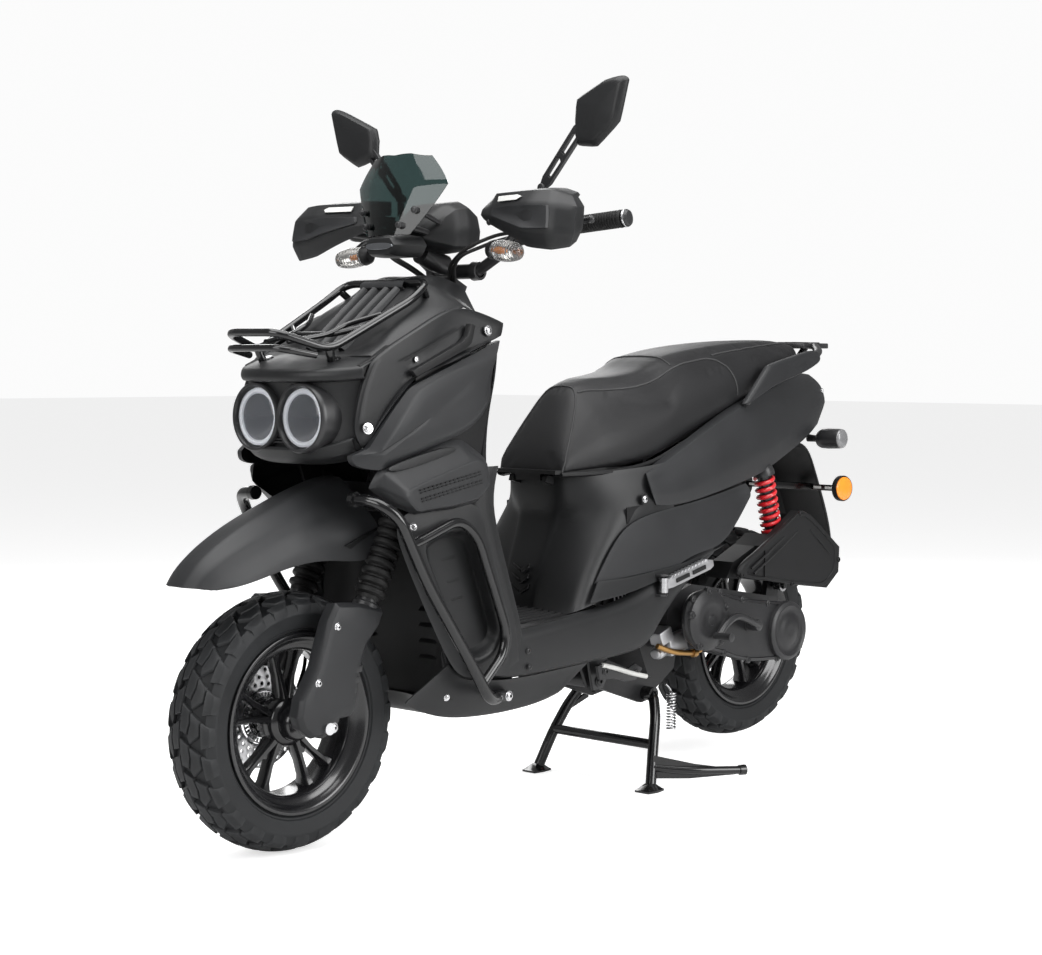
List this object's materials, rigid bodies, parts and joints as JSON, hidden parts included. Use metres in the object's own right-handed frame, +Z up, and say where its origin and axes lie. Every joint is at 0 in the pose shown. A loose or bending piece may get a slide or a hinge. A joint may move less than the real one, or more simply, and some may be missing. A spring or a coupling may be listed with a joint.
{
  "type": "moped scooter",
  "caption": "Step-through moped scooter with twin round headlights, front and rear racks, crash bars, hand guards, a stepped seat and block-tread tyres, on its centre stand.",
  "frame": {"origin": "on the ground, in the middle of the scooter's length and width", "axes": "-Y forwards, +X to the rider's left, +Z up"},
  "size_m": [0.808, 1.941, 1.426],
  "materials": {
    "steel_black": "gloss",
    "body_plastic": "satin",
    "dark_plastic": "matt",
    "fuel_tank": "satin",
    "lens": "clear",
    "windscreen": "smoke green",
    "lamp_lens": "gloss",
    "steel": "bright",
    "tyre": "matt",
    "rim": "gloss",
    "rubber": "matt",
    "alloy": "cast",
    "cvt": "satin",
    "exhaust": "heat-proof matt",
    "shock_black": "satin",
    "spring_red": "gloss",
    "seat_pan": "matt",
    "seat_vinyl": "grained vinyl"
  },
  "bodies": {
    "chassis": {"main_frame": "steel_black", "steering_bearings": "steel", "floorboard": "dark_plastic", "lower_cover": "dark_plastic", "leg_shield": "body_plastic", "inner_leg_cover": "body_plastic", "front_cowl": "body_plastic", "headlight_mask": "body_plastic", "headlight_lenses": "lens", "front_side_panels": "body_plastic", "front_rack": "steel_black", "crash_bars": "steel_black", "body_panels": "body_plastic", "tail_covers": "body_plastic", "rear_lights": "lamp_lens", "rear_rack": "steel_black", "storage_bucket": "dark_plastic", "fuel_tank": "fuel_tank", "rear_mudguard": "dark_plastic"},
    "steering": {"steering_stem": "steel_black", "fork_boots": "rubber", "front_fender": "body_plastic", "handlebar": "steel_black", "hand_guards": "body_plastic", "windscreen": "windscreen", "meter_pod": "body_plastic", "switch_housings": "dark_plastic", "left_grip": "rubber", "front_signals": "lens"},
    "fork_lower": {"fork_sliders": "steel_black", "front_axle": "steel", "brake_caliper": "alloy"},
    "front_wheel": {"front_tyre": "tyre", "front_rim": "rim", "front_disc": "steel"},
    "throttle_grip": {"throttle_grip": "rubber"},
    "front_brake_lever": {"front_brake_lever": "alloy"},
    "rear_brake_lever": {"rear_brake_lever": "alloy"},
    "left_mirror": {"left_mirror": "dark_plastic"},
    "right_mirror": {"right_mirror": "dark_plastic"},
    "starter_button": {"starter_button": "dark_plastic"},
    "horn_button": {"horn_button": "dark_plastic"},
    "signal_switch": {"signal_switch": "dark_plastic"},
    "ignition_key": {"ignition_key": "steel"},
    "swing_unit": {"engine_case": "alloy", "cvt_cover": "cvt", "airbox": "dark_plastic", "exhaust": "exhaust", "stand_spring": "steel"},
    "kick_lever": {"kick_lever": "steel_black"},
    "rear_wheel": {"rear_tyre": "tyre", "rear_rim": "rim"},
    "shock_bodies": {"shock_bodies": "shock_black", "shock_springs": "spring_red"},
    "shock_rods": {"shock_rods": "steel"},
    "centre_stand": {"centre_stand": "steel_black"},
    "left_footpeg": {"left_footpeg": "alloy"},
    "right_footpeg": {"right_footpeg": "alloy"},
    "seat": {"seat_base": "seat_pan", "seat_cushion": "seat_vinyl"}
  },
  "joints": [
    {"name": "steering", "type": "hinge", "parent": "chassis", "child": "steering", "pos_m": [0, -0.68554, 0.22266], "axis": [0, 0.4384, 0.8988], "range_deg": [-38, 38]},
    {"name": "fork_travel", "type": "slide", "parent": "steering", "child": "fork_lower", "axis": [0, 0.4384, 0.8988], "range_m": [0, 0.075], "deforming": ["fork_boots"]},
    {"name": "front_wheel_spin", "type": "hinge", "parent": "fork_lower", "child": "front_wheel", "pos_m": [0, -0.717, 0.238], "axis": [1, 0, 0], "continuous": true},
    {"name": "throttle", "type": "hinge", "parent": "steering", "child": "throttle_grip", "pos_m": [-0.224, -0.231, 1.15], "axis": [-0.9678, 0.2323, 0.0968], "range_deg": [-70, 0]},
    {"name": "front_brake", "type": "hinge", "parent": "steering", "child": "front_brake_lever", "pos_m": [-0.22025, -0.27509, 1.14864], "axis": [-0.0941, 0.0226, -0.9953], "range_deg": [0, 12]},
    {"name": "rear_brake", "type": "hinge", "parent": "steering", "child": "rear_brake_lever", "pos_m": [0.22025, -0.27509, 1.14864], "axis": [-0.0941, -0.0226, 0.9953], "range_deg": [0, 12]},
    {"name": "left_mirror_swivel", "type": "hinge", "parent": "steering", "child": "left_mirror", "pos_m": [0.196, -0.232, 1.172], "axis": [0, 0, 1], "range_deg": [-20, 20]},
    {"name": "right_mirror_swivel", "type": "hinge", "parent": "steering", "child": "right_mirror", "pos_m": [-0.196, -0.232, 1.172], "axis": [0, 0, 1], "range_deg": [-20, 20]},
    {"name": "starter_press", "type": "slide", "parent": "steering", "child": "starter_button", "axis": [-0.0941, 0.0226, -0.9953], "range_m": [0, 0.002]},
    {"name": "horn_press", "type": "slide", "parent": "steering", "child": "horn_button", "axis": [0.0941, 0.0226, -0.9953], "range_m": [0, 0.002]},
    {"name": "signal_slide", "type": "slide", "parent": "steering", "child": "signal_switch", "axis": [0.9678, 0.2323, 0.0968], "range_m": [-0.0025, 0.0025]},
    {"name": "key_turn", "type": "hinge", "parent": "chassis", "child": "ignition_key", "pos_m": [0.07, -0.28, 0.88], "axis": [0, 1, 0], "range_deg": [0, 90]},
    {"name": "swing_unit", "type": "hinge", "parent": "chassis", "child": "swing_unit", "pos_m": [0, 0.048, 0.238], "axis": [1, 0, 0], "range_deg": [0, 7]},
    {"name": "rear_wheel_spin", "type": "hinge", "parent": "swing_unit", "child": "rear_wheel", "pos_m": [0, 0.626, 0.283], "axis": [1, 0, 0], "continuous": true},
    {"name": "kick_start", "type": "hinge", "parent": "swing_unit", "child": "kick_lever", "pos_m": [0.193, 0.45, 0.328], "axis": [1, 0, 0], "range_deg": [0, 40]},
    {"name": "centre_stand", "type": "hinge", "parent": "swing_unit", "child": "centre_stand", "pos_m": [0, 0.233, 0.19], "axis": [1, 0, 0], "range_deg": [0, 100], "deforming": ["stand_spring"]},
    {"name": "shock_tilt", "type": "hinge", "parent": "chassis", "child": "shock_bodies", "pos_m": [0.13, 0.566, 0.7], "axis": [1, 0, 0], "range_deg": [-1.14, 0]},
    {"name": "shock_stroke", "type": "slide", "parent": "shock_bodies", "child": "shock_rods", "axis": [0, 0.2537, -0.9673], "range_m": [-0.0763, 0], "deforming": ["shock_springs"]},
    {"name": "left_peg_fold", "type": "hinge", "parent": "chassis", "child": "left_footpeg", "pos_m": [0.204, 0.136, 0.438], "axis": [0, 0, 1], "range_deg": [-80, 0]},
    {"name": "right_peg_fold", "type": "hinge", "parent": "chassis", "child": "right_footpeg", "pos_m": [-0.204, 0.136, 0.438], "axis": [0, 0, 1], "range_deg": [0, 80]},
    {"name": "seat_hinge", "type": "hinge", "parent": "chassis", "child": "seat", "pos_m": [0, -0.05, 0.661], "axis": [1, 0, 0], "range_deg": [0, 60]}
  ],
  "couplings": [
    {"joint": "shock_tilt", "follows": "swing_unit", "ratio": -0.15776},
    {"joint": "shock_stroke", "follows": "swing_unit", "m_per_rad": -0.61636}
  ]
}
